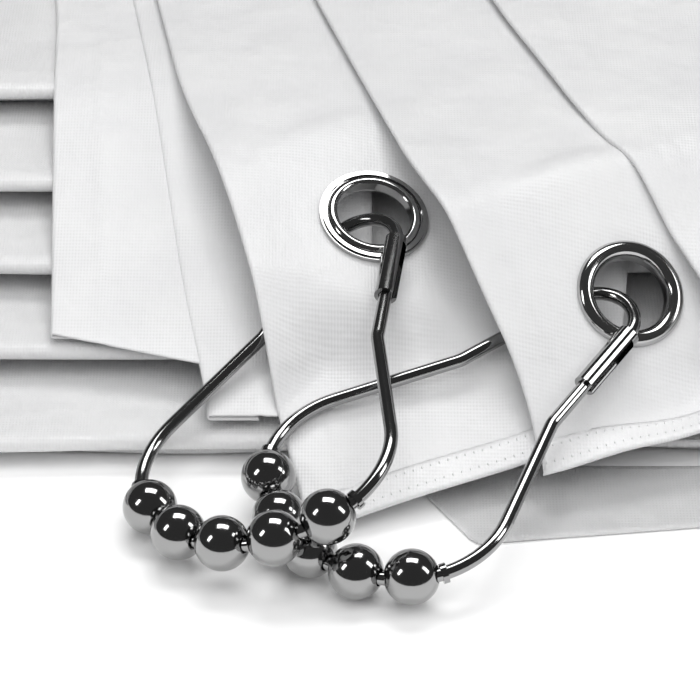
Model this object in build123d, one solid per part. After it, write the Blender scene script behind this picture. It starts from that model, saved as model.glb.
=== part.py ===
"""Folded vinyl shower curtain with two roller-ball hooks threaded through its header eyelets.

Millimetres, +Z up. The bundle lies on its base with the header edge towards -Y. Everything is laid
out in a bundle frame whose X is the middle of the folded width, and is moved at the end so that the
origin is the middle of the whole part's footprint, at its base.
"""
from build123d import *
from math import atan2, cos, degrees, radians, sin, sqrt
import os

# ---- folded bundle -------------------------------------------------------------------------
BUNDLE_WIDTH = 300.0          # folded width, X
BUNDLE_BACK = 254.0           # rear fold line, Y in the bundle frame
PACKET_THICKNESS = 6.6        # one packet of loosely folded layers
PACKET_GAP = 0.3              # air between two packets
PACKET_FRONTS = (31.0, 50.0, 68.0, 86.0, 104.0)      # front fold of each packet, bottom to top
PACKET_INSETS = (0.0, 5.0, 2.0, 7.0, 3.0)            # each packet's side folds, in from the widest
SHEET = 0.6                   # thickness of one modelled layer of sheet
FOLD_SOFTNESS = 0.6           # how gently a flap meets what it lies on
REAR_SOFTNESS = 3.0           # and how gently it levels out behind
LAYER_GAP = 2.5               # middle of one loose flap to the middle of the next
BACK_INSET = 4.0              # rear fold of the packets to the rear edge of the flaps
HEM = 1.1                     # thickness of the folded and welded hem
HEM_WIDTH = 6.0

# ---- header flaps --------------------------------------------------------------------------
CREASE_Y = 100.0              # fold across the header flaps, where they lift
CREASE_GAP = 0.6
SLOPE_START = (30.0, 8.0)     # a point (y, z) on the slope that the packets' fronts make
SLOPE_RISE = 0.36             # rise of that slope per millimetre
FLAT_MARGIN = 5.0             # the flap stays flat this far beyond an eyelet's rim
FLAT_BLEND = 12.0
GROUND_FLAP = ((21.5, 9.6), (61.0, 14.4), (147.0, 25.0), (147.0, 30.6), (10.0, 30.6))

# ---- eyelets -------------------------------------------------------------------------------
EYELET_BORE = 6.9             # radius of the clear hole
EYELET_RING = 3.1             # radial width of the eyelet's ring
EYELET_RIM = EYELET_BORE + EYELET_RING
EYELET_WALL = 0.6
FLANGE_HEIGHT = 1.4
WASHER_HEIGHT = 0.8
RIDGE_INSET = 0.4             # washer's raised ridge, in from its edge
RIDGE_WIDTH = 0.7
RIDGE_HEIGHT = 0.8
LIP_HEIGHT = 0.7
LIP_REACH = 1.1
FIT = 0.06                    # radial clearance of barrel, washer and sheet
STACK_PITCH = 3.9             # eyelets still folded inside the bundle, one above the other
STACKS = ((118.0, 150.0, 5), (118.0, 182.0, 4))      # x, y and number of eyelets in each column
STACK_START = 5.6
WELL_CLEARANCE = 0.6

# ---- hooks ---------------------------------------------------------------------------------
WIRE = 1.2                    # wire radius
CROWN_RADIUS = 27.0           # arc that carries the balls
SHOULDER_RADIUS = 16.5
SHOULDER_END = 116.0          # degrees, heading where the shoulder runs out
WAIST = 11.6                  # half width where the legs are kinked
KINK_RADIUS = 5.0
NECK = 22.0                   # waist to the middle of the small loop, along the hook
LOOP_INSIDE = 5.8             # clear radius of the small loop that passes through the eyelet
LOOP_RADIUS = LOOP_INSIDE + WIRE
CATCH_SPAN = (0.42, 1.0)      # share of the right leg, from the waist, that the catch covers
TIP_AT = 0.76                 # share where the leg's free tip ends inside the catch
CATCH_CLEARANCE = 0.12
CATCH_WALL = 0.7
CATCH_SLOT = 1.7
PLUG_LENGTH = 1.6             # the catch is pressed shut over this length beside the small loop
PLUG_INSET = 0.5
LOOP_OVER_BALLS = 17.35       # middle of the small loop above the balls' middles
BALLS = 5
BALL_RADIUS = 4.75
HOOK_LIFT = 3.2 * BALL_RADIUS - 9.5     # the first hook lies higher, on the second's balls
SAG_DEPTH = 12.3 + HOOK_LIFT            # the first flap still dips under the second hook's leg
BALL_FLAT_DEPTH = 0.3         # how far each pole is flattened
BALL_FLAT = BALL_RADIUS - BALL_FLAT_DEPTH
BALL_WALL = 0.5
BALL_HOLE = 0.0526 * BALL_RADIUS        # clearance round the wire
BALL_GAP = 0.4                # between one ball and the next
BALL_PITCH = 2 * BALL_RADIUS + BALL_GAP
CROWN_SWEEP = degrees((BALLS - 1) / 2 * BALL_PITCH / CROWN_RADIUS)    # each side of the middle
STOP_REACH = 0.55             # how far a pressed stop stands out of the wire
STOP_RADIUS = WIRE + STOP_REACH
STOP_THICKNESS = 1.0
STOP_GAP = 0.0266 * BALL_RADIUS ** 2    # the wire curves, so a bigger ball needs more room
TANGENT_STEP = 0.2            # half length of the chord that gives a direction along the wire


class Hook:
    """Where one hook lies: the middle of its small loop, its width and length directions."""

    def __init__(self, seat, across, along, chain_shift, flap_angle, eyelet_offset):
        self.seat = Vector(*seat)
        self.along = Vector(*along).normalized()
        across = Vector(*across)
        self.across = (across - self.along * across.dot(self.along)).normalized()
        self.normal = self.across.cross(self.along)
        self.chain_shift = chain_shift
        turn = radians(flap_angle)
        side = self.across * cos(turn) - self.normal * sin(turn)
        self.flap_normal = side.cross(self.along)
        self.eyelet_offset = eyelet_offset
        self.plane = Plane(origin=self.seat - self.along * loop_height(),
                           x_dir=self.across, z_dir=self.normal)

    def point(self, u, v):
        return self.plane.from_local_coords(Vector(u, v, 0))

    def eyelet_centre(self):
        """The small loop passes round the middle of the eyelet's ring."""
        forward, down = self.eyelet_offset
        ring_middle = (EYELET_BORE + EYELET_RIM) / 2
        return self.seat + self.along * (ring_middle - forward) - self.flap_normal * down


def heading(angle):
    return Vector(cos(radians(angle)), sin(radians(angle)))


def crown_end():
    turn = radians(CROWN_SWEEP)
    return Vector(CROWN_RADIUS * sin(turn), CROWN_RADIUS * (1 - cos(turn)))


def shoulder_centre():
    turn = radians(CROWN_SWEEP)
    return crown_end() + Vector(-sin(turn), cos(turn)) * SHOULDER_RADIUS


def shoulder_end():
    turn = radians(SHOULDER_END)
    return shoulder_centre() + Vector(sin(turn), -cos(turn)) * SHOULDER_RADIUS


def waist_point():
    start = shoulder_end()
    reach = (start.X - WAIST) / -cos(radians(SHOULDER_END))
    return start + heading(SHOULDER_END) * reach


def loop_height():
    return waist_point().Y + NECK


def neck_end():
    """Where the leg's straight line touches the small loop."""
    waist = waist_point()
    centre = Vector(0, loop_height())
    gap = centre - waist
    length = sqrt(gap.length ** 2 - LOOP_RADIUS ** 2)
    angle = degrees(atan2(gap.Y, gap.X) - atan2(LOOP_RADIUS, length))
    return waist + heading(angle) * length


def chain_point(distance):
    """Point on the hook's centre line, this far along the wire from the middle of the crown."""
    side = 1 if distance >= 0 else -1
    reach = abs(distance)
    crown = CROWN_RADIUS * radians(CROWN_SWEEP)
    if reach <= crown:
        turn = reach / CROWN_RADIUS
        return Vector(side * CROWN_RADIUS * sin(turn), CROWN_RADIUS * (1 - cos(turn)))
    turn = radians(CROWN_SWEEP) + (reach - crown) / SHOULDER_RADIUS
    spot = shoulder_centre() + Vector(sin(turn), -cos(turn)) * SHOULDER_RADIUS
    return Vector(side * spot.X, spot.Y)


def chain_places(hook):
    middle = (BALLS - 1) / 2
    return [hook.chain_shift + (index - middle) * BALL_PITCH for index in range(BALLS)]


def kink(before, corner, after):
    """Tangent points and middle of the small arc that rounds a corner."""
    first = (before - corner).normalized()
    second = (after - corner).normalized()
    half = radians(first.get_angle(second)) / 2
    cut = KINK_RADIUS / abs(sin(half) / cos(half))
    bisector = (first + second).normalized()
    centre = corner + bisector * (KINK_RADIUS / sin(half))
    return corner + first * cut, centre - bisector * KINK_RADIUS, corner + second * cut


def mirrored(spot):
    return Vector(-spot.X, spot.Y)


def hook_path(tip):
    """The wire's centre line in the hook's plane, from the free tip round to the catch."""
    start, middle, finish = kink(tip, waist_point(), shoulder_end())
    low = chain_point(CROWN_RADIUS * radians(CROWN_SWEEP))
    half_turn = radians((CROWN_SWEEP + SHOULDER_END) / 2)
    bulge = shoulder_centre() + Vector(sin(half_turn), -cos(half_turn)) * SHOULDER_RADIUS
    left_start, left_middle, left_finish = kink(neck_end(), waist_point(), shoulder_end())
    top = Vector(0, loop_height() + LOOP_RADIUS)
    edges = [
        Edge.make_line(tip, start),
        Edge.make_three_point_arc(start, middle, finish),
        Edge.make_line(finish, shoulder_end()),
        Edge.make_three_point_arc(shoulder_end(), bulge, low),
        Edge.make_three_point_arc(low, Vector(0, 0), mirrored(low)),
        Edge.make_three_point_arc(mirrored(low), mirrored(bulge), mirrored(shoulder_end())),
        Edge.make_line(mirrored(shoulder_end()), mirrored(left_finish)),
        Edge.make_three_point_arc(mirrored(left_finish), mirrored(left_middle), mirrored(left_start)),
        Edge.make_line(mirrored(left_start), mirrored(neck_end())),
        Edge.make_three_point_arc(mirrored(neck_end()), top, neck_end()),
    ]
    return Wire(edges)


def hook_wire():
    """One length of wire: legs, crown, small loop, curled catch and the two pressed stops."""
    leg = neck_end() - waist_point()
    tip = waist_point() + leg * TIP_AT
    path = hook_path(tip)
    start = Plane(origin=tip, z_dir=waist_point() - neck_end())
    body = sweep(start * Circle(WIRE), path=path)
    body += Pos(tip.X, tip.Y, 0) * Sphere(WIRE)
    inner = WIRE + CATCH_CLEARANCE
    outer = inner + CATCH_WALL
    catch_start = waist_point() + leg * CATCH_SPAN[0]
    along_leg = Plane(origin=catch_start, x_dir=(0, 0, 1), z_dir=leg)
    length = leg.length * (CATCH_SPAN[1] - CATCH_SPAN[0])
    section = Circle(outer) - Circle(inner) - Pos(0, outer) * Rectangle(CATCH_SLOT, 2 * outer)
    body += extrude(along_leg * section, amount=length)
    plug = Pos(0, 0, -PLUG_INSET) * Cylinder(outer, PLUG_LENGTH)
    body += Plane(origin=neck_end(), x_dir=(0, 0, 1), z_dir=leg) * plug
    return body


def stops(hook):
    """Pressed ears on the wire, just outside the first and last ball."""
    places = chain_places(hook)
    offset = BALL_FLAT + STOP_GAP + STOP_THICKNESS / 2
    shapes = []
    for distance in (places[0] - offset, places[-1] + offset):
        spot = chain_point(distance)
        tangent = chain_point(distance + TANGENT_STEP) - chain_point(distance - TANGENT_STEP)
        shapes.append(Plane(origin=spot, z_dir=tangent) * Cylinder(STOP_RADIUS, STOP_THICKNESS))
    return shapes


def ball():
    """Hollow pressed ball with a flat and a hole at each pole, its axis along Z."""
    shell = Sphere(BALL_RADIUS) & Cylinder(BALL_RADIUS + 1, 2 * BALL_FLAT)
    hollow = Sphere(BALL_RADIUS - BALL_WALL) & Cylinder(BALL_RADIUS, 2 * (BALL_FLAT - BALL_WALL))
    return shell - hollow - Cylinder(WIRE + BALL_HOLE, 4 * BALL_RADIUS)


def ball_plane(hook, distance):
    """The ball turns about the chord between the two points where the wire leaves it."""
    before = chain_point(distance - BALL_FLAT)
    after = chain_point(distance + BALL_FLAT)
    middle = (before + after) * 0.5
    return Plane(origin=hook.point(middle.X, middle.Y),
                 z_dir=hook.point(after.X, after.Y) - hook.point(before.X, before.Y),
                 x_dir=hook.normal)


# ---- sheet surfaces ------------------------------------------------------------------------
def softer_min(first, second, width):
    return (first + second - sqrt((first - second) ** 2 + width ** 2)) / 2


def softer_max(first, second, width):
    return (first + second + sqrt((first - second) ** 2 + width ** 2)) / 2


def ease(value):
    value = min(1.0, max(0.0, value))
    return value * value * (3 - 2 * value)


def along_line(points, y):
    """X of a fold line at this Y, the line being given by its corner points."""
    for (x0, y0), (x1, y1) in zip(points, points[1:]):
        if y <= y1 or (x1, y1) == points[-1]:
            return x0 + (x1 - x0) * (y - y0) / (y1 - y0)


def slope_height(y):
    return SLOPE_START[1] + SLOPE_RISE * (y - SLOPE_START[0])


def facet(*corners):
    return Face(Wire.make_polygon(corners))


class Flap:
    """One fold of the header: its outline, the plane it lies in at the eyelet and its rear height."""

    def __init__(self, name, left, right, front, seat, normal, centre, rear_height, lowest,
                 sag=None, over=None):
        self.name = name
        self.left = left
        self.right = right
        self.front = front
        self.seat = seat
        self.normal = normal
        self.centre = centre
        self.rear_height = rear_height
        self.lowest = lowest
        self.sag = sag
        self.over = over

    def plane_height(self, x, y):
        tilt = self.normal.X * (x - self.seat.X) + self.normal.Y * (y - self.seat.Y)
        return self.seat.Z - tilt / self.normal.Z

    def height(self, x, y):
        flat = self.plane_height(x, y)
        loose = flat
        if self.sag:
            (sag_x, sag_y), reach, depth = self.sag
            distance = sqrt((x - sag_x) ** 2 + (y - sag_y) ** 2)
            loose -= depth * ease(1 - distance / reach)
        loose = softer_max(loose, slope_height(y) + self.lowest, FOLD_SOFTNESS)
        if self.over:
            loose = softer_max(loose, self.over.height(x, y) + LAYER_GAP, FOLD_SOFTNESS)
        loose = softer_min(loose, self.rear_height, REAR_SOFTNESS)
        distance = sqrt((x - self.centre.X) ** 2 + (y - self.centre.Y) ** 2)
        share = ease((distance - EYELET_RIM - FLAT_MARGIN) / FLAT_BLEND)
        return flat * (1 - share) + loose * share

    def front_at(self, x):
        (x0, y0), (x1, y1) = self.front
        return y0 + (y1 - y0) * (x - x0) / (x1 - x0)

    def grid(self, near, far, columns, rows):
        """Points of the sheet from this far behind the front edge; None starts at the crease."""
        lines = []
        for column in range(columns):
            share = column / (columns - 1)
            x_front = self.left[0][0] + (self.right[0][0] - self.left[0][0]) * share
            y_front = self.front_at(x_front)
            start = CREASE_Y + CREASE_GAP / 2 if near is None else y_front + near
            end = {"hem": y_front + HEM_WIDTH, "crease": CREASE_Y - CREASE_GAP / 2,
                   "back": BUNDLE_BACK - BACK_INSET}[far]
            line = []
            for row in range(rows):
                y = start + (end - start) * row / (rows - 1)
                x_left = along_line(self.left, y)
                x = x_left + (along_line(self.right, y) - x_left) * share
                line.append(Vector(x, y, self.height(x, y)))
            lines.append(line)
        return lines

    def sheet(self, near, far, thickness=SHEET, columns=11, rows=11):
        """Faceted closed sheet, this thick, round the grid."""
        lift = Vector(0, 0, thickness / 2)
        grid = self.grid(near, far, columns, rows)
        faces = []
        for left, right in zip(grid, grid[1:]):
            for a, b, c, d in zip(left, right, right[1:], left[1:]):
                faces += [facet(a + lift, b + lift, c + lift), facet(a + lift, c + lift, d + lift)]
                faces += [facet(a - lift, c - lift, b - lift), facet(a - lift, d - lift, c - lift)]
        rim = [line[0] for line in grid] + grid[-1][1:]
        rim += [line[-1] for line in reversed(grid[:-1])] + list(reversed(grid[0][1:-1]))
        for a, b in zip(rim, rim[1:] + rim[:1]):
            faces.append(facet(a - lift, b - lift, b + lift, a + lift))
        return Solid(Shell(faces))

    def eyelet_plane(self):
        return Plane(origin=self.centre, z_dir=self.normal, x_dir=(1, 0, 0))


def hole_in_sheet(flap):
    return flap.eyelet_plane() * Cylinder(EYELET_BORE + EYELET_WALL + FIT, 12)


# ---- eyelets -------------------------------------------------------------------------------
def eyelet(sheet=SHEET):
    """Barrel with a smooth round flange above the sheet and a rolled lip below the washer."""
    barrel_outer = EYELET_BORE + EYELET_WALL
    top = sheet / 2 + FIT / 2
    bottom = -sheet / 2 - FIT - WASHER_HEIGHT
    lip_bottom = bottom - FIT / 2 - LIP_HEIGHT
    middle = (EYELET_BORE + EYELET_RIM) / 2
    with BuildPart() as made:
        with BuildSketch(Plane.XZ):
            with BuildLine():
                Polyline((EYELET_BORE, top), (EYELET_BORE, lip_bottom + LIP_HEIGHT / 2))
                lip_end = (barrel_outer + LIP_REACH, bottom - FIT / 2)
                ThreePointArc((EYELET_BORE, lip_bottom + LIP_HEIGHT / 2),
                              (EYELET_BORE + (EYELET_WALL + LIP_REACH) / 2, lip_bottom), lip_end)
                Polyline(lip_end, (barrel_outer, bottom - FIT / 2), (barrel_outer, top),
                         (EYELET_RIM, top))
                ThreePointArc((EYELET_RIM, top), (middle, top + FLANGE_HEIGHT), (EYELET_BORE, top))
            make_face()
        revolve(axis=Axis.Z)
    return made.part


def washer(sheet=SHEET):
    """Stepped ring under the sheet: outer flange, raised ridge and inner seat."""
    inner = EYELET_BORE + EYELET_WALL + FIT
    top = -sheet / 2 - FIT / 2
    ring = Cylinder(EYELET_RIM, WASHER_HEIGHT) - Cylinder(inner, 2 * WASHER_HEIGHT)
    ridge = Cylinder(EYELET_RIM - RIDGE_INSET, RIDGE_HEIGHT)
    ridge -= Cylinder(EYELET_RIM - RIDGE_INSET - RIDGE_WIDTH, 2 * RIDGE_HEIGHT)
    body = ring + Pos(0, 0, -WASHER_HEIGHT / 2) * ridge
    return Pos(0, 0, top - WASHER_HEIGHT / 2) * body


# ---- the curtain ---------------------------------------------------------------------------
def make_hooks():
    lower_seat = BALL_RADIUS + LOOP_OVER_BALLS
    first = Hook(seat=(1.8, 61.0, lower_seat + HOOK_LIFT),
                 across=(0.870, -0.410, 0.272), along=(0.326, 0.905, 0.273),
                 chain_shift=-0.9, flap_angle=33.0, eyelet_offset=(0.9, 0.4))
    second = Hook(seat=(43.3, 45.5, lower_seat),
                  across=(0.657, -0.754, -0.060), along=(0.733, 0.637, 0.238),
                  chain_shift=0.8, flap_angle=34.0, eyelet_offset=(-0.4, 0.0))
    return first, second


def make_flaps(hooks):
    first, second = hooks
    flap_1 = Flap("flap_1",
                  left=[(-6.0, 10.0), (-19.0, 61.0), (-31.0, 100.0), (-38.0, 140.0), (-58.0, 250.0)],
                  right=[(46.0, 29.0), (55.0, 100.0), (60.0, 250.0)],
                  front=((-6.0, 10.2), (31.0, 23.6)),
                  seat=first.eyelet_centre(), normal=first.flap_normal, centre=first.eyelet_centre(),
                  rear_height=37.9, lowest=1.2, sag=((2.0, 26.0), 34.0, SAG_DEPTH))
    flap_2 = Flap("flap_2",
                  left=[(33.6, 19.2), (33.0, 31.0), (19.5, 53.0), (12.5, 67.0), (4.9, 93.0),
                        (-6.0, 132.0), (-35.0, 250.0)],
                  right=[(92.0, 37.0), (96.0, 100.0), (100.0, 250.0)],
                  front=((33.6, 19.2), (61.0, 28.0)),
                  seat=second.eyelet_centre(), normal=second.flap_normal,
                  centre=second.eyelet_centre(), rear_height=39.8, lowest=2.3, over=flap_1)
    third_normal = Vector(0.05, -0.42, 0.90).normalized()
    third_seat = Vector(108.0, 66.0, 31.0)
    flap_3 = Flap("flap_3",
                  left=[(70.0, 40.0), (62.0, 54.0), (51.0, 72.0), (43.7, 84.0), (28.5, 126.0),
                        (0.0, 250.0)],
                  right=[(138.0, 47.0), (140.0, 100.0), (142.0, 250.0)],
                  front=((70.0, 40.0), (138.0, 47.0)),
                  seat=third_seat, normal=third_normal, centre=third_seat,
                  rear_height=42.0, lowest=3.5, over=flap_2)
    return flap_1, flap_2, flap_3


def make_under_flaps():
    """The two folds that show below and beside the first header flap; they lie on the packets."""
    start = Vector(0, *SLOPE_START)
    normal = Vector(0, -SLOPE_RISE, 1).normalized()
    no_eyelet = Vector(-1000, 0, 0)
    under = Flap("under_flap",
                 left=[(-24.0, 34.0), (-30.0, 62.0), (-44.0, 150.0), (-60.0, 250.0)],
                 right=[(4.0, 34.0), (4.0, 100.0), (4.0, 250.0)],
                 front=((-24.0, 34.0), (4.0, 34.0)),
                 seat=start, normal=normal, centre=no_eyelet, rear_height=36.1, lowest=0.2)
    side = Flap("side_flap",
                left=[(-53.0, 50.0), (-57.0, 138.0), (-76.0, 250.0)],
                right=[(-31.0, 46.0), (-32.5, 62.0), (-46.5, 150.0), (-62.5, 250.0)],
                front=((-53.0, 51.0), (-31.0, 46.0)),
                seat=start, normal=normal, centre=no_eyelet, rear_height=36.1, lowest=0.2)
    return under, side


def ground_flap():
    """The lowest fold reaches out over the floor in front of the bundle."""
    return extrude(make_face(Polyline(*GROUND_FLAP, close=True)), amount=SHEET)


def wells():
    """Room inside the bundle for each column of folded-away eyelets."""
    room = []
    for x, y, count in STACKS:
        height = count * STACK_PITCH + 2 * WELL_CLEARANCE
        middle = STACK_START + (count - 1) * STACK_PITCH / 2
        room.append(Pos(x, y, middle) * Cylinder(EYELET_RIM + WELL_CLEARANCE, height))
    return room


def packets():
    made = {}
    for index, (front, inset) in enumerate(zip(PACKET_FRONTS, PACKET_INSETS)):
        depth = BUNDLE_BACK - front
        low = index * (PACKET_THICKNESS + PACKET_GAP)
        outline = Pos(front + depth / 2, low + PACKET_THICKNESS / 2) * SlotOverall(depth, PACKET_THICKNESS)
        solid = extrude(Plane.YZ * outline, amount=BUNDLE_WIDTH / 2 - inset, both=True)
        for well in wells():
            solid -= well
        made[f"fold_packet_{index + 1}"] = solid
    return made


def stack_rings():
    """Eyelets of the folded pleats, one above the other and alternately turned over."""
    rings = []
    washers = []
    for x, y, count in STACKS:
        for index in range(count):
            flip = Rot(180, 0, 0) if index % 2 else Rot(0, 0, 0)
            place = Pos(x, y, STACK_START + index * STACK_PITCH) * flip
            rings.append(place * eyelet())
            washers.append(place * washer())
    return Compound(children=rings), Compound(children=washers)


def build():
    """Every node of the part, in the bundle frame."""
    nodes = packets()
    hooks = make_hooks()
    flaps = make_flaps(hooks)
    nodes["ground_flap"] = ground_flap()
    for under in make_under_flaps():
        nodes[under.name] = under.sheet(0.0, "back", columns=4, rows=34)
    for index, flap in enumerate(flaps, start=1):
        hole = hole_in_sheet(flap)
        nodes[flap.name] = flap.sheet(HEM_WIDTH, "crease") - hole
        nodes[f"{flap.name}_hem"] = flap.sheet(0.0, "hem", HEM, rows=2)
        nodes[f"{flap.name}_rear"] = flap.sheet(None, "back")
        turned = flap.eyelet_plane() * (Rot(180, 0, 0) if index == 1 else Rot(0, 0, 0))
        nodes[f"eyelet_{index}"] = turned * eyelet()
        nodes[f"washer_{index}"] = turned * washer()
    nodes["stack_eyelets"], nodes["stack_washers"] = stack_rings()
    for number, hook in enumerate(hooks, start=1):
        wire = hook_wire()
        for stop in stops(hook):
            wire += stop
        nodes[f"hook_{number}_wire"] = hook.plane.location * wire
        for index, distance in enumerate(chain_places(hook), start=1):
            nodes[f"hook_{number}_ball_{index}"] = ball_plane(hook, distance).location * ball()
    return nodes


def footprint_shift(nodes):
    boxes = [shape.bounding_box() for shape in nodes.values()]
    low = [min(getattr(box.min, axis) for box in boxes) for axis in "XYZ"]
    high = [max(getattr(box.max, axis) for box in boxes) for axis in "XYZ"]
    return Vector(-(low[0] + high[0]) / 2, -(low[1] + high[1]) / 2, -low[2])


def main():
    nodes = build()
    shift = footprint_shift(nodes)
    os.makedirs("parts", exist_ok=True)
    for name, shape in nodes.items():
        export_step(shape.moved(Location(shift)), f"parts/{name}.step")


if __name__ == "__main__":
    main()
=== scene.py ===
"""Folded vinyl shower curtain with roller-ball hooks: the looks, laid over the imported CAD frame."""
from math import cos, exp, pi, radians, sin, sqrt

import bmesh
import bpy
from mathutils import Matrix, Vector, noise


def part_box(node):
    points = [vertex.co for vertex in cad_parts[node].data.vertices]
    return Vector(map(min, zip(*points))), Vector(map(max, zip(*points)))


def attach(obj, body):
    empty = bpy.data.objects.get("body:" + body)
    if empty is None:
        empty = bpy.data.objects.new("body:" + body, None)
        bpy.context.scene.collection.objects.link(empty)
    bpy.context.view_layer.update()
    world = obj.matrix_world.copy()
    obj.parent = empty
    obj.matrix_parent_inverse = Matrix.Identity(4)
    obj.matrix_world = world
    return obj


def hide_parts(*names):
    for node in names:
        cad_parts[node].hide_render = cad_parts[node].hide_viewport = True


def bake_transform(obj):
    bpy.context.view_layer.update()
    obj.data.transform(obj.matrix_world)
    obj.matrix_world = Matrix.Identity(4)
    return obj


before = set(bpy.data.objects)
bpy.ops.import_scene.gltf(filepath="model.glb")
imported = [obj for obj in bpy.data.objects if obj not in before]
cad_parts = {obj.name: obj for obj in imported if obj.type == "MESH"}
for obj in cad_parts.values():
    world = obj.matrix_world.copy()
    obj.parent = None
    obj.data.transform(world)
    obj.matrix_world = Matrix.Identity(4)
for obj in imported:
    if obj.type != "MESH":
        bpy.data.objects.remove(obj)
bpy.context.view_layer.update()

bl_info = {
    "name": "Folded shower curtain",
    "version": (1, 0, 0),
    "blender": (4, 5, 0),
    "location": "View3D > Sidebar > Curtain",
    "description": "Sheets, hems, metal finishes and stage for a folded shower curtain with hooks",
    "category": "Object",
}

MM = 0.001

# Bundle layout in millimetres, in the bundle's own frame; BUNDLE_SHIFT takes it to the row frame.
BUNDLE_WIDTH = 300.0
BUNDLE_BACK = 254.0
PACKET_THICKNESS = 6.6
PACKET_PITCH = 6.9
PACKET_FRONTS = (31.0, 50.0, 68.0, 86.0, 107.0)
PACKET_INSETS = (0.0, 5.0, 2.0, 7.0, 3.0)
BACK_EDGE = 250.0
SLOPE_START = (30.0, 8.0)
SLOPE_RISE = 0.36
FLAT_REACH = 15.0
FLAT_BLEND = 12.0
LAYER_GAP = 2.5
EYELET_HOLE = 7.7
GROUND_FRONT = ((10.0, 29.0), (21.5, 9.6), (61.0, 14.4), (147.0, 25.0))
GROUND_BACK = 31.5
GROUND_LIFT = 0.3
GROUND_WAVE = 0.7
FOLD_SOFTNESS = 0.6
REAR_SOFTNESS = 3.0
RIPPLE_HEIGHT = 0.35
RIPPLE_LENGTH = 22.0
CORNER_EASE = 9.0             # a fold line's corners are eased over this much, each way

# Side hem of a header flap: rolled under its edge, then flat, and welded along a raised line.
ROLL_COLUMNS = 4
TUCK_COLUMNS = 3
HEM_ROLL = 0.45
HEM_LINE_HEIGHT = 0.22
HEM_LINE_WIDTH = 0.7
COLUMN_SPREAD = 1.35          # above 1 the grid is finer near the folded edge
ROW_SPREAD = 1.3              # and near the front

# Front hem: a flat double sheet with a round lip.
FRONT_HEM = 6.2
FRONT_HEM_HALF = 0.5
FRONT_LIP = 0.08 * FRONT_HEM
FLAT_STEPS = 6
LIP_STEPS = 8
HEM_START = 5.4               # the flap itself begins here, under the rear of its hem
WELD_ROWS = (1.5, 4.6)
WELD_HEIGHT = 0.55

# Packets: each run of sheet lies a little loose, and the lower front fold is set back.
PACKET_CLEARANCE = 0.05
LOWER_SETBACK = 7.5
UPPER_SETBACK = 1.5
REAR_SETBACK = 2.0
FRONT_WANDER = 3.0
WANDER_LENGTH = 60.0
RUN_SEED = 3.7
PACKET_SEED = 9.1
WAVE_HEIGHT = 0.15
WAVE_LENGTHS = (34.0, 50.0)
WAVE_SEED = 5.0
RUN_STEPS = 14
FOLD_STEPS = 6
FOLD_BULGE = 0.75

CAMERA_PLACE = (0.0, -459.0, 361.5)
CAMERA_DROP = 34.4            # degrees below level
BUNDLE_SHIFT = Vector((0.0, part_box("fold_packet_1")[1][1] / MM - BUNDLE_BACK, 0.0))


def to_row(point):
    """Bundle-frame millimetres to row-frame metres."""
    return (Vector(point) + BUNDLE_SHIFT) * MM


# ---- settings ------------------------------------------------------------------------------
class SheetSettings(bpy.types.PropertyGroup):
    """How the vinyl is cut, folded and embossed"""

    thickness: bpy.props.FloatProperty(
        name="Thickness", description="Sheet thickness", default=0.00028, unit="LENGTH")
    side_hem: bpy.props.FloatProperty(
        name="Side hem", description="Width of the hem folded under each side edge",
        default=0.0085, unit="LENGTH")
    weave_pitch: bpy.props.FloatProperty(
        name="Emboss pitch", description="Distance between embossed diamonds",
        default=0.00114, unit="LENGTH")
    weave_depth: bpy.props.FloatProperty(
        name="Emboss depth", description="Height of the embossed diamonds", default=0.000032, unit="LENGTH")
    packet_sheet: bpy.props.FloatProperty(
        name="Packet sheet", description="Thickness of the soft runs in a packet",
        default=0.0013, unit="LENGTH")
    opacity: bpy.props.FloatProperty(
        name="Opacity", description="How much one layer hides what is under it",
        default=0.84, subtype="FACTOR")
    layers: bpy.props.IntProperty(
        name="Layers", description="Runs of sheet in each packet of folds", default=4, min=2, max=8)


class WeldSettings(bpy.types.PropertyGroup):
    """Rows of small weld marks along a hem"""

    spacing: bpy.props.FloatProperty(
        name="Spacing", description="Distance between weld marks", default=0.0016, unit="LENGTH")
    radius: bpy.props.FloatProperty(
        name="Radius", description="Size of one weld mark", default=0.00036, unit="LENGTH")


class MetalSettings(bpy.types.PropertyGroup):
    """Polished dark nickel on the eyelets, wires and balls"""

    roughness: bpy.props.FloatProperty(
        name="Roughness", description="Base roughness of the polish", default=0.07, subtype="FACTOR")


# ---- shader groups -------------------------------------------------------------------------
def group_output(tree, name, kind):
    tree.interface.new_socket(name=name, in_out="OUTPUT", socket_type=kind)


def group_input(tree, name, default):
    socket = tree.interface.new_socket(name=name, in_out="INPUT", socket_type="NodeSocketFloat")
    socket.default_value = default
    return socket


def math_node(tree, operation, first, second=None):
    node = tree.nodes.new("ShaderNodeMath")
    node.operation = operation
    for socket, value in zip(node.inputs, (first, second)):
        if isinstance(value, (int, float)):
            socket.default_value = value
        elif value is not None:
            tree.links.new(value, socket)
    return node.outputs[0]


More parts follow.
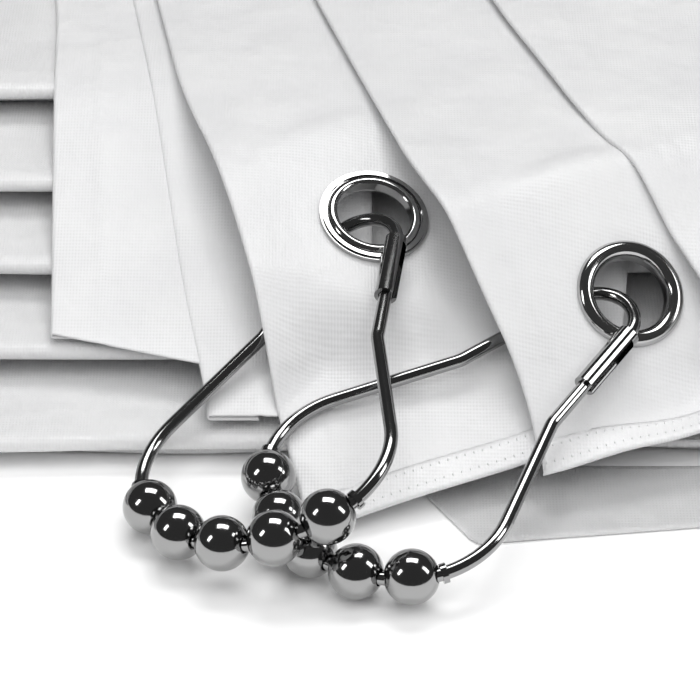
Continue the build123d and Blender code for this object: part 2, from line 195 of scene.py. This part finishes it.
def embossing_group():
    """Fine diamond embossing, soft wrinkles and faint clouding of the vinyl."""
    tree = bpy.data.node_groups.new("vinyl_embossing", "ShaderNodeTree")
    group_input(tree, "Pitch", 0.00114)
    group_input(tree, "Depth", 0.000032)
    group_input(tree, "Whiteness", 0.8)
    group_output(tree, "Color", "NodeSocketColor")
    group_output(tree, "Roughness", "NodeSocketFloat")
    group_output(tree, "Normal", "NodeSocketVector")
    entry = tree.nodes.new("NodeGroupInput")
    leave = tree.nodes.new("NodeGroupOutput")
    place = tree.nodes.new("ShaderNodeTexCoord")
    split = tree.nodes.new("ShaderNodeSeparateXYZ")
    tree.links.new(place.outputs["Object"], split.inputs[0])
    turns = math_node(tree, "DIVIDE", 2 * pi, entry.outputs["Pitch"])
    across = split.outputs["X"]
    along = math_node(tree, "MULTIPLY", split.outputs["Y"], 0.8)
    up = math_node(tree, "ADD", across, along)
    down = math_node(tree, "SUBTRACT", across, along)
    first = math_node(tree, "SINE", math_node(tree, "MULTIPLY", up, turns))
    second = math_node(tree, "SINE", math_node(tree, "MULTIPLY", down, turns))
    diamonds = math_node(tree, "MULTIPLY", first, second)
    wrinkles = tree.nodes.new("ShaderNodeTexNoise")
    wrinkles.inputs["Scale"].default_value = 70.0
    wrinkles.inputs["Detail"].default_value = 3.0
    tree.links.new(place.outputs["Object"], wrinkles.inputs["Vector"])
    fine = tree.nodes.new("ShaderNodeBump")
    fine.inputs["Strength"].default_value = 1.0
    tree.links.new(math_node(tree, "MULTIPLY", diamonds, entry.outputs["Depth"]), fine.inputs["Height"])
    fine.inputs["Distance"].default_value = 1.0
    coarse = tree.nodes.new("ShaderNodeBump")
    coarse.inputs["Strength"].default_value = 1.0
    coarse.inputs["Distance"].default_value = 1.0
    tree.links.new(math_node(tree, "MULTIPLY", wrinkles.outputs[0], 0.0012), coarse.inputs["Height"])
    tree.links.new(fine.outputs["Normal"], coarse.inputs["Normal"])
    tree.links.new(coarse.outputs["Normal"], leave.inputs["Normal"])
    ramp = tree.nodes.new("ShaderNodeValToRGB")
    ramp.color_ramp.elements[0].position = 0.3
    ramp.color_ramp.elements[0].color = (0.89, 0.89, 0.90, 1)
    ramp.color_ramp.elements[1].position = 0.7
    ramp.color_ramp.elements[1].color = (0.94, 0.94, 0.945, 1)
    tree.links.new(wrinkles.outputs[0], ramp.inputs[0])
    whiten = tree.nodes.new("ShaderNodeVectorMath")
    whiten.operation = "SCALE"
    tree.links.new(ramp.outputs[0], whiten.inputs[0])
    tree.links.new(entry.outputs["Whiteness"], whiten.inputs["Scale"])
    tree.links.new(whiten.outputs[0], leave.inputs["Color"])
    tree.links.new(math_node(tree, "ADD", math_node(tree, "MULTIPLY", diamonds, 0.05), 0.34),
                   leave.inputs["Roughness"])
    return tree


def polish_group():
    """Slightly uneven polish with faint hairline marks, for plated metal."""
    tree = bpy.data.node_groups.new("polish_marks", "ShaderNodeTree")
    group_input(tree, "Roughness", 0.07)
    group_output(tree, "Roughness", "NodeSocketFloat")
    group_output(tree, "Normal", "NodeSocketVector")
    entry = tree.nodes.new("NodeGroupInput")
    leave = tree.nodes.new("NodeGroupOutput")
    place = tree.nodes.new("ShaderNodeTexCoord")
    smear = tree.nodes.new("ShaderNodeTexNoise")
    smear.inputs["Scale"].default_value = 220.0
    smear.inputs["Detail"].default_value = 2.0
    tree.links.new(place.outputs["Object"], smear.inputs["Vector"])
    rough = math_node(tree, "MULTIPLY", smear.outputs[0], 0.06)
    tree.links.new(math_node(tree, "ADD", rough, entry.outputs["Roughness"]), leave.inputs["Roughness"])
    marks = tree.nodes.new("ShaderNodeTexNoise")
    marks.inputs["Scale"].default_value = 2600.0
    tree.links.new(place.outputs["Object"], marks.inputs["Vector"])
    bump = tree.nodes.new("ShaderNodeBump")
    bump.inputs["Strength"].default_value = 0.6
    bump.inputs["Distance"].default_value = 1.0
    tree.links.new(math_node(tree, "MULTIPLY", marks.outputs[0], 0.000004), bump.inputs["Height"])
    tree.links.new(bump.outputs["Normal"], leave.inputs["Normal"])
    return tree


def shared_group(name, maker):
    return bpy.data.node_groups.get(name) or maker()


def fresh_material(name):
    material = bpy.data.materials.new(name)
    material.use_nodes = True
    return material, material.node_tree, material.node_tree.nodes["Principled BSDF"]


def vinyl(name, settings, alpha, whiteness, glow=0.15):
    """Frosted embossed vinyl; alpha below 1 lets the layer under it show through."""
    found = bpy.data.materials.get(name)
    if found:
        return found
    material, tree, shader = fresh_material(name)
    detail = tree.nodes.new("ShaderNodeGroup")
    detail.node_tree = shared_group("vinyl_embossing", embossing_group)
    detail.inputs["Pitch"].default_value = settings.weave_pitch
    detail.inputs["Depth"].default_value = settings.weave_depth
    detail.inputs["Whiteness"].default_value = whiteness
    tree.links.new(detail.outputs["Color"], shader.inputs["Base Color"])
    tree.links.new(detail.outputs["Roughness"], shader.inputs["Roughness"])
    tree.links.new(detail.outputs["Normal"], shader.inputs["Normal"])
    shader.inputs["IOR"].default_value = 1.46
    shader.inputs["Specular IOR Level"].default_value = 0.45
    shader.inputs["Subsurface Weight"].default_value = glow
    shader.inputs["Subsurface Radius"].default_value = (0.005, 0.005, 0.005)
    shader.inputs["Subsurface Scale"].default_value = 1.0
    shader.inputs["Alpha"].default_value = alpha
    material.diffuse_color = (0.88, 0.88, 0.89, 1)
    return material


def nickel(name, settings, color):
    """Polished dark nickel plate."""
    found = bpy.data.materials.get(name)
    if found:
        return found
    material, tree, shader = fresh_material(name)
    shader.inputs["Base Color"].default_value = color
    shader.inputs["Metallic"].default_value = 1.0
    detail = tree.nodes.new("ShaderNodeGroup")
    detail.node_tree = shared_group("polish_marks", polish_group)
    detail.inputs["Roughness"].default_value = settings.roughness
    tree.links.new(detail.outputs["Roughness"], shader.inputs["Roughness"])
    tree.links.new(detail.outputs["Normal"], shader.inputs["Normal"])
    return material


# ---- mesh helpers --------------------------------------------------------------------------
def mesh_object(name, vertices, faces, material):
    mesh = bpy.data.meshes.new(name)
    mesh.from_pydata([tuple(v) for v in vertices], [], faces)
    mesh.materials.append(material)
    made = bpy.data.objects.new(name, mesh)
    bpy.context.scene.collection.objects.link(made)
    for polygon in mesh.polygons:
        polygon.use_smooth = True
    return made


def grid_object(name, lines, material, closed=False):
    """Mesh over a grid of points given line by line."""
    rows = len(lines[0])
    vertices = [point for line in lines for point in line]
    faces = []
    count = len(lines)
    for column in range(count if closed else count - 1):
        for row in range(rows - 1):
            a = column * rows + row
            b = ((column + 1) % count) * rows + row
            faces.append((a, b, b + 1, a + 1))
    return mesh_object(name, vertices, faces, material)


def baked(made):
    """The object's mesh with its modifiers applied, and the modifiers gone."""
    graph = bpy.context.evaluated_depsgraph_get()
    mesh = bpy.data.meshes.new_from_object(made.evaluated_get(graph))
    old = made.data
    made.modifiers.clear()
    made.data = mesh
    mesh.name = made.name
    bpy.data.meshes.remove(old)
    return made


def thicken(made, thickness):
    solid = made.modifiers.new("Thickness", "SOLIDIFY")
    solid.thickness = thickness
    solid.offset = 0.0
    solid.use_rim = True
    return made


def punch(made, centre, normal, radius):
    """Cuts the round hole that an eyelet sits in."""
    mesh = bpy.data.meshes.new("punch")
    builder = bmesh.new()
    bmesh.ops.create_cone(builder, cap_ends=True, segments=48, radius1=radius, radius2=radius, depth=4 * MM)
    turn = normal.to_track_quat("Z", "Y").to_matrix().to_4x4()
    bmesh.ops.transform(builder, matrix=Matrix.Translation(centre) @ turn, verts=builder.verts)
    builder.to_mesh(mesh)
    builder.free()
    cutter = bpy.data.objects.new("punch", mesh)
    bpy.context.scene.collection.objects.link(cutter)
    cut = made.modifiers.new("Eyelet hole", "BOOLEAN")
    cut.operation = "DIFFERENCE"
    cut.solver = "EXACT"
    cut.object = cutter
    baked(made)
    bpy.data.objects.remove(cutter)
    bpy.data.meshes.remove(mesh)
    return made


def ease(value):
    value = min(1.0, max(0.0, value))
    return value * value * (3 - 2 * value)


def softer_min(first, second, width):
    return (first + second - sqrt((first - second) ** 2 + width ** 2)) / 2


def softer_max(first, second, width):
    return (first + second + sqrt((first - second) ** 2 + width ** 2)) / 2


def along_line(points, y):
    for (x0, y0), (x1, y1) in zip(points, points[1:]):
        if y <= y1 or (x1, y1) == points[-1]:
            return x0 + (x1 - x0) * (y - y0) / (y1 - y0)


def rounded_line(points, y):
    """The fold line with its corners eased, by averaging over a short stretch."""
    samples = [along_line(points, max(points[0][1], y + CORNER_EASE * (k / 3 - 1))) for k in range(7)]
    return sum(samples) / len(samples)


# ---- header flaps --------------------------------------------------------------------------
class Flap:
    """One fold of the header in bundle millimetres: outline, flat part round its eyelet, rest."""

    def __init__(self, left, right, front, centre, normal, rear_height, lowest, sag=None, over=None):
        self.left, self.right, self.front = left, right, front
        self.centre, self.normal = Vector(centre), Vector(normal).normalized()
        self.rear_height, self.lowest = rear_height, lowest
        self.sag, self.over = sag, over

    def height(self, x, y):
        tilt = self.normal.x * (x - self.centre.x) + self.normal.y * (y - self.centre.y)
        flat = self.centre.z - tilt / self.normal.z
        loose = flat
        if self.sag:
            (sag_x, sag_y), reach, depth = self.sag
            loose -= depth * ease(1 - sqrt((x - sag_x) ** 2 + (y - sag_y) ** 2) / reach)
        loose = softer_max(loose, SLOPE_START[1] + SLOPE_RISE * (y - SLOPE_START[0]) + self.lowest,
                           FOLD_SOFTNESS)
        if self.over:
            loose = softer_max(loose, self.over.height(x, y) + LAYER_GAP, FOLD_SOFTNESS)
        loose = softer_min(loose, self.rear_height, REAR_SOFTNESS)
        distance = sqrt((x - self.centre.x) ** 2 + (y - self.centre.y) ** 2)
        share = ease((distance - FLAT_REACH) / FLAT_BLEND)
        ripple = RIPPLE_HEIGHT * noise.noise(Vector((x, y * 0.4, 0)) / RIPPLE_LENGTH) * share
        return flat * (1 - share) + loose * share + ripple

    def front_at(self, share):
        """Y of the front edge, this share of the way across."""
        (x0, y0), (x1, y1) = self.front
        x = self.left[0][0] + (self.right[0][0] - self.left[0][0]) * share
        return y0 + (y1 - y0) * (x - x0) / (x1 - x0)

    def point(self, share, y, lift=0.0):
        x_left = rounded_line(self.left, y)
        x = x_left + (along_line(self.right, y) - x_left) * share
        return to_row((x, y, self.height(x, y) + lift))


FLAP_1 = Flap(
    left=[(-6.0, 10.0), (-19.0, 61.0), (-31.0, 100.0), (-38.0, 140.0), (-58.0, 250.0)],
    right=[(46.0, 29.0), (55.0, 100.0), (60.0, 250.0)], front=((-6.0, 10.2), (31.0, 23.6)),
    centre=(4.19, 67.97, 29.49), normal=(0.176, -0.342, 0.923),
    rear_height=37.9, lowest=1.2, sag=((2.0, 26.0), 34.0, 18.0))
FLAP_2 = Flap(
    left=[(33.6, 19.2), (33.0, 31.0), (19.5, 53.0), (12.5, 67.0), (4.9, 93.0), (-6.0, 132.0),
          (-35.0, 250.0)],
    right=[(92.0, 37.0), (96.0, 100.0), (100.0, 250.0)], front=((33.6, 19.2), (61.0, 28.0)),
    centre=(49.79, 51.14, 24.21), normal=(0.255, -0.582, 0.772),
    rear_height=39.8, lowest=2.3, over=FLAP_1)
FLAP_3 = Flap(
    left=[(70.0, 40.0), (62.0, 54.0), (51.0, 72.0), (43.7, 84.0), (28.5, 126.0), (0.0, 250.0)],
    right=[(138.0, 47.0), (140.0, 100.0), (142.0, 250.0)], front=((70.0, 40.0), (138.0, 47.0)),
    centre=(108.0, 66.0, 31.0), normal=(0.05, -0.42, 0.90),
    rear_height=42.0, lowest=3.5, over=FLAP_2)
UNDER_FLAP = Flap(
    left=[(-24.0, 34.0), (-30.0, 62.0), (-44.0, 150.0), (-60.0, 250.0)],
    right=[(4.0, 34.0), (4.0, 100.0), (4.0, 250.0)], front=((-24.0, 34.0), (4.0, 34.0)),
    centre=(-200.0, *SLOPE_START), normal=(0.0, -SLOPE_RISE, 1.0), rear_height=36.1, lowest=0.2)
SIDE_FLAP = Flap(
    left=[(-53.0, 50.0), (-57.0, 138.0), (-76.0, 250.0)],
    right=[(-23.0, 44.0), (-24.5, 62.0), (-38.5, 150.0), (-54.5, 250.0)],
    front=((-53.0, 51.0), (-31.0, 46.0)),
    centre=(-200.0, *SLOPE_START), normal=(0.0, -SLOPE_RISE, 1.0), rear_height=35.6, lowest=-0.3)


def flap_mesh(name, flap, near, settings, material, columns=46, rows=120):
    """Sheet with its side edge folded under as a hem, and a raised weld line along that hem."""
    hem = settings.side_hem / MM
    lines = []
    for column in range(-ROLL_COLUMNS - TUCK_COLUMNS, columns + 1):
        share = max(0.0, column / columns) ** COLUMN_SPREAD
        y_start = flap.front_at(share) + near
        line = []
        for row in range(rows + 1):
            y = y_start + (BACK_EDGE - y_start) * (row / rows) ** ROW_SPREAD
            width = along_line(flap.right, y) - rounded_line(flap.left, y)
            if column > 0:
                spot = flap.point(share, y)
                off_line = (share * width - hem) / HEM_LINE_WIDTH
                spot.z += HEM_LINE_HEIGHT * MM * exp(-off_line ** 2)
            else:
                turn = pi * min(1.0, -column / ROLL_COLUMNS)
                under = max(0.0, (-column - ROLL_COLUMNS) / TUCK_COLUMNS) * hem
                spot = flap.point(under / width, y)
                spot.x -= HEM_ROLL * MM * sin(turn)
                spot.z -= HEM_ROLL * MM * (1 - cos(turn))
            line.append(spot)
        lines.append(line)
    made = grid_object(name, lines, material)
    thicken(made, settings.thickness)
    return baked(made)


def hem_mesh(name, flap, settings, material, columns=60):
    """Front hem: the sheet's edge turned under, with a round lip along the front."""
    lines = []
    for column in range(columns + 1):
        share = column / columns
        lip = flap.front_at(share) + FRONT_LIP
        rear = flap.front_at(share) + FRONT_HEM
        line = []
        for step in range(FLAT_STEPS + 1):
            y = rear + (lip - rear) * step / FLAT_STEPS
            line.append(flap.point(share, y, FRONT_HEM_HALF * ease(step / 2)))
        for step in range(1, LIP_STEPS):
            turn = pi * step / LIP_STEPS
            spot = flap.point(share, lip, FRONT_HEM_HALF * cos(turn))
            spot.y -= FRONT_HEM_HALF * MM * sin(turn)
            line.append(spot)
        for step in range(FLAT_STEPS + 1):
            y = lip + (rear - lip) * step / FLAT_STEPS
            line.append(flap.point(share, y, -FRONT_HEM_HALF * ease((FLAT_STEPS - step) / 2)))
        lines.append(line)
    made = grid_object(name, lines, material)
    thicken(made, settings.thickness)
    return baked(made)


def weld_nodes():
    """Geometry Nodes: weld marks at even spacing along a line, flattened onto the hem."""
    tree = bpy.data.node_groups.new("weld_marks", "GeometryNodeTree")
    tree.interface.new_socket(name="Geometry", in_out="INPUT", socket_type="NodeSocketGeometry")
    for name in ("Spacing", "Radius"):
        tree.interface.new_socket(name=name, in_out="INPUT", socket_type="NodeSocketFloat")
    tree.interface.new_socket(name="Material", in_out="INPUT", socket_type="NodeSocketMaterial")
    tree.interface.new_socket(name="Geometry", in_out="OUTPUT", socket_type="NodeSocketGeometry")
    entry = tree.nodes.new("NodeGroupInput")
    leave = tree.nodes.new("NodeGroupOutput")
    curve = tree.nodes.new("GeometryNodeMeshToCurve")
    points = tree.nodes.new("GeometryNodeCurveToPoints")
    points.mode = "LENGTH"
    mark = tree.nodes.new("GeometryNodeMeshIcoSphere")
    mark.inputs["Subdivisions"].default_value = 2
    flatten = tree.nodes.new("GeometryNodeTransform")
    flatten.inputs["Scale"].default_value = (0.55, 1.5, 0.35)
    place = tree.nodes.new("GeometryNodeInstanceOnPoints")
    realize = tree.nodes.new("GeometryNodeRealizeInstances")
    paint = tree.nodes.new("GeometryNodeSetMaterial")
    smooth = tree.nodes.new("GeometryNodeSetShadeSmooth")
    link = tree.links.new
    link(entry.outputs["Geometry"], curve.inputs["Mesh"])
    link(curve.outputs["Curve"], points.inputs["Curve"])
    link(entry.outputs["Spacing"], points.inputs["Length"])
    link(entry.outputs["Radius"], mark.inputs["Radius"])
    link(mark.outputs["Mesh"], flatten.inputs["Geometry"])
    link(points.outputs["Points"], place.inputs["Points"])
    link(flatten.outputs["Geometry"], place.inputs["Instance"])
    link(points.outputs["Rotation"], place.inputs["Rotation"])
    link(place.outputs["Instances"], smooth.inputs["Geometry"])
    link(smooth.outputs["Geometry"], realize.inputs["Geometry"])
    link(realize.outputs["Geometry"], paint.inputs["Geometry"])
    link(entry.outputs["Material"], paint.inputs["Material"])
    link(paint.outputs["Geometry"], leave.inputs["Geometry"])
    return tree


def weld_rows(name, flap, settings, material, steps=60):
    """Weld marks along the hem, one row at each distance behind the front edge."""
    vertices, edges = [], []
    for distance in WELD_ROWS:
        first = len(vertices)
        for column in range(steps + 1):
            share = 0.01 + 0.98 * column / steps
            vertices.append(flap.point(share, flap.front_at(share) + distance, WELD_HEIGHT))
        edges += [(k, k + 1) for k in range(first, len(vertices) - 1)]
    mesh = bpy.data.meshes.new(name)
    mesh.from_pydata([tuple(v) for v in vertices], edges, [])
    made = bpy.data.objects.new(name, mesh)
    bpy.context.scene.collection.objects.link(made)
    tree = shared_group("weld_marks", weld_nodes)
    modifier = made.modifiers.new("Weld marks", "NODES")
    modifier.node_group = tree
    values = {"Spacing": settings.spacing, "Radius": settings.radius, "Material": material}
    for item in tree.interface.items_tree:
        if item.in_out == "INPUT" and item.name in values:
            modifier[item.identifier] = values[item.name]
    return baked(made)


# ---- packets of folds ----------------------------------------------------------------------
def packet_mesh(name, index, settings, material, columns=72):
    """One sheet folded to and fro between a front fold and the rear fold, and lying loose."""
    runs = settings.layers
    thickness = settings.packet_sheet / MM
    bottom = index * PACKET_PITCH + thickness / 2 + PACKET_CLEARANCE
    pitch = (PACKET_THICKNESS - thickness - 2 * PACKET_CLEARANCE) / (runs - 1)
    half_width = BUNDLE_WIDTH / 2 - PACKET_INSETS[index]
    lines = []
    for column in range(columns + 1):
        x = -half_width + 2 * half_width * column / columns
        line = []
        for run in range(runs):
            z = bottom + run * pitch
            place = Vector((x / WANDER_LENGTH, run * RUN_SEED, index * PACKET_SEED))
            wander = FRONT_WANDER * noise.noise(place)
            setback = LOWER_SETBACK if run < runs // 2 else UPPER_SETBACK
            y_front = PACKET_FRONTS[index] + setback + wander
            y_back = BUNDLE_BACK - REAR_SETBACK - abs(wander)
            at_front = run % 2 == 0
            for step in range(RUN_STEPS + 1):
                share = (step if at_front else RUN_STEPS - step) / RUN_STEPS
                y = y_back + (y_front - y_back) * share
                place = Vector((x / WAVE_LENGTHS[0], y / WAVE_LENGTHS[1], run + index * WAVE_SEED))
                wave = WAVE_HEIGHT * noise.noise(place)
                line.append(to_row((x, y, z + wave * (1 - share ** 6))))
            if run < runs - 1:
                edge = y_front if at_front else y_back
                side = -1 if at_front else 1
                for step in range(1, FOLD_STEPS):
                    turn = pi * step / FOLD_STEPS
                    y = edge + side * pitch * FOLD_BULGE * sin(turn)
                    line.append(to_row((x, y, z + pitch / 2 * (1 - cos(turn)))))
        lines.append(line)
    made = grid_object(name, lines, material)
    thicken(made, settings.packet_sheet)
    return baked(made)


def ground_front(x):
    for (x0, y0), (x1, y1) in zip(GROUND_FRONT, GROUND_FRONT[1:]):
        if x <= x1:
            return y0 + (y1 - y0) * (x - x0) / (x1 - x0)
    return GROUND_FRONT[-1][1]


def ground_mesh(name, settings, material, columns=90, rows=16):
    """The lowest fold, lying almost flat on the floor in front of the packets."""
    lines = []
    for column in range(columns + 1):
        x = GROUND_FRONT[0][0] + (GROUND_FRONT[-1][0] - GROUND_FRONT[0][0]) * column / columns
        front = ground_front(x)
        line = []
        for row in range(rows + 1):
            share = row / rows
            y = front + (GROUND_BACK - front) * share
            soft = 0.5 + 0.5 * noise.noise(Vector((x / 26.0, y / 14.0, 2.0)))
            rise = GROUND_WAVE * soft * sin(pi * min(1.0, share * 1.3) / 2)
            line.append(to_row((x, y, GROUND_LIFT + rise)))
        lines.append(line)
    made = grid_object(name, lines, material)
    thicken(made, settings.thickness)
    return baked(made)


# ---- operators -----------------------------------------------------------------------------
class CURTAIN_OT_under_flaps(bpy.types.Operator):
    """Lay the two folds below the header flaps and the lowest one on the floor"""

    bl_idname = "curtain.under_flaps"
    bl_label = "Folds under the header"

    def execute(self, context):
        settings = context.scene.curtain_sheet
        material = vinyl("header_vinyl", settings, settings.opacity, 0.93)
        folds = (("under_fold", UNDER_FLAP, "under_flap", (0.055, 0.215)),
                 ("side_fold", SIDE_FLAP, "side_flap", (0.0365, 0.203)))
        for name, flap, node, flat in folds:
            made = flap_mesh(name, flap, 0.0, settings, material, columns=24)
            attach(made, "bundle")
            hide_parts(node)
        # painted shade: the ground fold uses a darker copy of the vinyl (whiteness 0.76 against 0.93) to
        # offset the extra light on flat tops
        made = ground_mesh("ground_fold", settings, vinyl("bundle_vinyl_painted_shade", settings, 1.0, 0.76, 0.5))
        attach(made, "bundle")
        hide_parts("ground_flap")
        return {"FINISHED"}


class CURTAIN_OT_header_flaps(bpy.types.Operator):
    """Lay the three fanned header flaps"""

    bl_idname = "curtain.header_flaps"
    bl_label = "Header flaps"

    def execute(self, context):
        settings = context.scene.curtain_sheet
        material = vinyl("header_vinyl", settings, settings.opacity, 0.93)
        for number, flap in enumerate((FLAP_1, FLAP_2, FLAP_3), start=1):
            made = flap_mesh(f"header_flap_{number}", flap, HEM_START, settings, material)
            punch(made, to_row(flap.centre), flap.normal, EYELET_HOLE * MM)
            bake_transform(made)
            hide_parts(f"flap_{number}", f"flap_{number}_rear")
            length = (BACK_EDGE - flap.front_at(0.5)) * MM
        return {"FINISHED"}


class CURTAIN_OT_header_hems(bpy.types.Operator):
    """Turn and weld the narrow hem along each header flap"""

    bl_idname = "curtain.header_hems"
    bl_label = "Header hems"

    def execute(self, context):
        settings = context.scene.curtain_sheet
        welds = context.scene.curtain_weld
        material = vinyl("hem_vinyl", settings, 0.95, 0.93)
        for number, flap in enumerate((FLAP_1, FLAP_2, FLAP_3), start=1):
            made = hem_mesh(f"header_hem_{number}", flap, settings, material)
            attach(made, "header")
            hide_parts(f"flap_{number}_hem")
            rows = weld_rows(f"hem_welds_{number}", flap, welds, material)
            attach(rows, "header")
        return {"FINISHED"}


class CURTAIN_OT_fold_packets(bpy.types.Operator):
    """Fold the packets of sheet that make the bundle"""

    bl_idname = "curtain.fold_packets"
    bl_label = "Packets of folds"

    def execute(self, context):
        settings = context.scene.curtain_sheet
        # painted shade: a darker copy of the vinyl (whiteness 0.76 against 0.93) offsets the extra light
        # the packets' flat tops catch
        material = vinyl("bundle_vinyl_painted_shade", settings, 1.0, 0.76, 0.5)
        for index, front in enumerate(PACKET_FRONTS):
            made = packet_mesh(f"folds_{index + 1}", index, settings, material)
            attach(made, "bundle")
            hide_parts(f"fold_packet_{index + 1}")
        return {"FINISHED"}


class CURTAIN_OT_metalwork(bpy.types.Operator):
    """Plate the eyelets, washers, hook wires and balls"""

    bl_idname = "curtain.metalwork"
    bl_label = "Metalwork"

    def execute(self, context):
        settings = context.scene.curtain_metal
        finishes = {
            "eyelet": nickel("eyelet_nickel", settings, (0.50, 0.50, 0.50, 1)),
            "washer": nickel("washer_nickel", settings, (0.46, 0.46, 0.46, 1)),
            "wire": nickel("wire_nickel", settings, (0.34, 0.34, 0.34, 1)),
            "ball": nickel("ball_nickel", settings, (0.36, 0.36, 0.36, 1)),
        }
        for name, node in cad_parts.items():
            for word, material in finishes.items():
                if word in name:
                    node.data.materials.clear()
                    node.data.materials.append(material)
                    for polygon in node.data.polygons:
                        polygon.material_index = 0
        return {"FINISHED"}


def soft_box(name, place, aim, size, power):
    lamp = bpy.data.lights.new(name, "AREA")
    lamp.shape = "RECTANGLE"
    lamp.size, lamp.size_y = size
    lamp.energy = power
    made = bpy.data.objects.new(name, lamp)
    bpy.context.scene.collection.objects.link(made)
    made.location = place
    made.rotation_euler = (Vector(aim) - Vector(place)).to_track_quat("-Z", "Y").to_euler()
    return made


class CURTAIN_OT_stage(bpy.types.Operator):
    """Set the white floor, soft boxes and camera"""

    bl_idname = "curtain.stage"
    bl_label = "Stage"

    def execute(self, context):
        material, tree, shader = fresh_material("white_floor")
        shader.inputs["Base Color"].default_value = (0.97, 0.97, 0.97, 1)
        shader.inputs["Roughness"].default_value = 0.9
        shader.inputs["Specular IOR Level"].default_value = 0.0
        half = 3.0
        corners = [(-half, -half, 0), (half, -half, 0), (half, half, 0), (-half, half, 0)]
        floor = mesh_object("floor", corners, [(0, 1, 2, 3)], material)
        floor.location.z = -0.0002
        world = bpy.data.worlds.new("studio")
        context.scene.world = world
        world.use_nodes = True
        world.node_tree.nodes["Background"].inputs["Color"].default_value = (1, 1, 1, 1)
        world.node_tree.nodes["Background"].inputs["Strength"].default_value = 0.06
        soft_box("key_box", (0.05, 0.32, 1.15), (0, -0.05, 0), (0.8, 0.45), 7.0)
        soft_box("side_box", (1.0, -0.2, 0.7), (0, -0.05, 0), (0.25, 0.6), 2.5)
        soft_box("left_box", (-1.0, -0.5, 0.8), (0, -0.05, 0), (0.25, 0.5), 2.5)
        fill = soft_box("fill_box", (0.1, -0.9, 1.5), (0, -0.05, 0), (2.0, 1.6), 25.0)
        fill.visible_glossy = False
        camera = bpy.data.cameras.new("camera")
        camera.sensor_width = 36.0
        camera.lens = 176.76
        camera.clip_start = 0.01
        made = bpy.data.objects.new("camera", camera)
        context.scene.collection.objects.link(made)
        made.location = to_row(CAMERA_PLACE)
        made.rotation_euler = (radians(90.0 - CAMERA_DROP), 0, 0)
        context.scene.camera = made
        context.scene.view_settings.view_transform = "Standard"
        context.scene.view_settings.look = "None"
        return {"FINISHED"}


class CURTAIN_PT_panel(bpy.types.Panel):
    """Buttons and values for the folded curtain"""

    bl_idname = "CURTAIN_PT_panel"
    bl_label = "Folded shower curtain"
    bl_space_type = "VIEW_3D"
    bl_region_type = "UI"
    bl_category = "Curtain"

    def draw(self, context):
        column = self.layout.column()
        for group in (context.scene.curtain_sheet, context.scene.curtain_weld, context.scene.curtain_metal):
            for name in group.__annotations__:
                column.prop(group, name)
        for operator in OPERATORS:
            column.operator(operator.bl_idname)


SETTINGS = {"curtain_sheet": SheetSettings, "curtain_weld": WeldSettings, "curtain_metal": MetalSettings}
OPERATORS = (
    CURTAIN_OT_fold_packets,
    CURTAIN_OT_under_flaps,
    CURTAIN_OT_header_flaps,
    CURTAIN_OT_header_hems,
    CURTAIN_OT_metalwork,
    CURTAIN_OT_stage,
)


def register():
    for name, group in SETTINGS.items():
        bpy.utils.register_class(group)
        setattr(bpy.types.Scene, name, bpy.props.PointerProperty(type=group))
    for operator in OPERATORS:
        bpy.utils.register_class(operator)
    bpy.utils.register_class(CURTAIN_PT_panel)


def unregister():
    bpy.utils.unregister_class(CURTAIN_PT_panel)
    for operator in reversed(OPERATORS):
        bpy.utils.unregister_class(operator)
    for name, group in SETTINGS.items():
        delattr(bpy.types.Scene, name)
        bpy.utils.unregister_class(group)


def main():
    register()
    bpy.ops.curtain.fold_packets()
    bpy.ops.curtain.under_flaps()
    bpy.ops.curtain.header_flaps()
    bpy.ops.curtain.header_hems()
    bpy.ops.curtain.metalwork()
    bpy.ops.curtain.stage()


if __name__ == "__main__":
    main()
